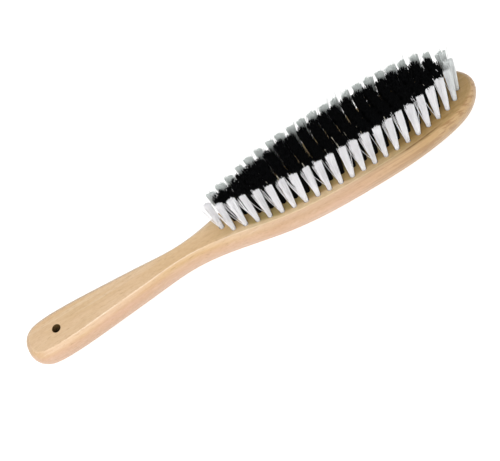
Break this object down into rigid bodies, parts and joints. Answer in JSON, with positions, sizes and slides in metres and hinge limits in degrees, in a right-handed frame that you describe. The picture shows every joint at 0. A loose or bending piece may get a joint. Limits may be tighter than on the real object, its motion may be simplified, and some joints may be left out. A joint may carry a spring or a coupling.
{
  "type": "clothes brush",
  "caption": "Long-handled wooden clothes brush: oval head with rows of black bristle tufts inside an edge row of white tufts, and a hanging hole in the handle.",
  "frame": {"origin": "under the middle of the brush's bounding box, on the plane of the flat back", "axes": "+X along the brush from the handle's end to the head's tip, +Y across it, +Z out of the bristle face"},
  "size_m": [0.2604, 0.0432, 0.038],
  "materials": {
    "beech_wood": "pale beech under clear satin lacquer",
    "white_bristle": "white nylon filament",
    "black_bristle": "black nylon filament",
    "anchor_wire": "flat drawn steel wire"
  },
  "bodies": {
    "root": {"anchors_centre": "anchor_wire", "anchors_edge": "anchor_wire", "anchors_left_inner": "anchor_wire", "anchors_left_outer": "anchor_wire", "anchors_right_inner": "anchor_wire", "anchors_right_outer": "anchor_wire", "black_tufts_centre": "black_bristle", "black_tufts_left_inner": "black_bristle", "black_tufts_left_outer": "black_bristle", "black_tufts_right_inner": "black_bristle", "black_tufts_right_outer": "black_bristle", "edge_tuft_01": "white_bristle", "edge_tuft_02": "white_bristle", "edge_tuft_03": "white_bristle", "edge_tuft_04": "white_bristle", "edge_tuft_05": "white_bristle", "edge_tuft_06": "white_bristle", "edge_tuft_07": "white_bristle", "edge_tuft_08": "white_bristle", "edge_tuft_09": "white_bristle", "edge_tuft_10": "white_bristle", "edge_tuft_11": "white_bristle", "edge_tuft_12": "white_bristle", "edge_tuft_13": "white_bristle", "edge_tuft_14": "white_bristle", "edge_tuft_15": "white_bristle", "edge_tuft_16": "white_bristle", "edge_tuft_17": "white_bristle", "edge_tuft_18": "white_bristle", "edge_tuft_19": "white_bristle", "edge_tuft_20": "white_bristle", "edge_tuft_21": "white_bristle", "edge_tuft_22": "white_bristle", "edge_tuft_23": "white_bristle", "edge_tuft_24": "white_bristle", "edge_tuft_25": "white_bristle", "edge_tuft_26": "white_bristle", "edge_tuft_27": "white_bristle", "edge_tuft_28": "white_bristle", "edge_tuft_29": "white_bristle", "edge_tuft_30": "white_bristle", "edge_tuft_31": "white_bristle", "edge_tuft_32": "white_bristle", "edge_tuft_33": "white_bristle", "edge_tuft_34": "white_bristle", "edge_tuft_35": "white_bristle", "edge_tuft_36": "white_bristle", "edge_tuft_37": "white_bristle", "edge_tuft_38": "white_bristle", "edge_tuft_39": "white_bristle", "edge_tuft_40": "white_bristle", "edge_tuft_41": "white_bristle", "edge_tuft_42": "white_bristle", "edge_tuft_43": "white_bristle", "edge_tuft_44": "white_bristle", "edge_tuft_45": "white_bristle", "wooden_body": "beech_wood"}
  },
  "joints": []
}
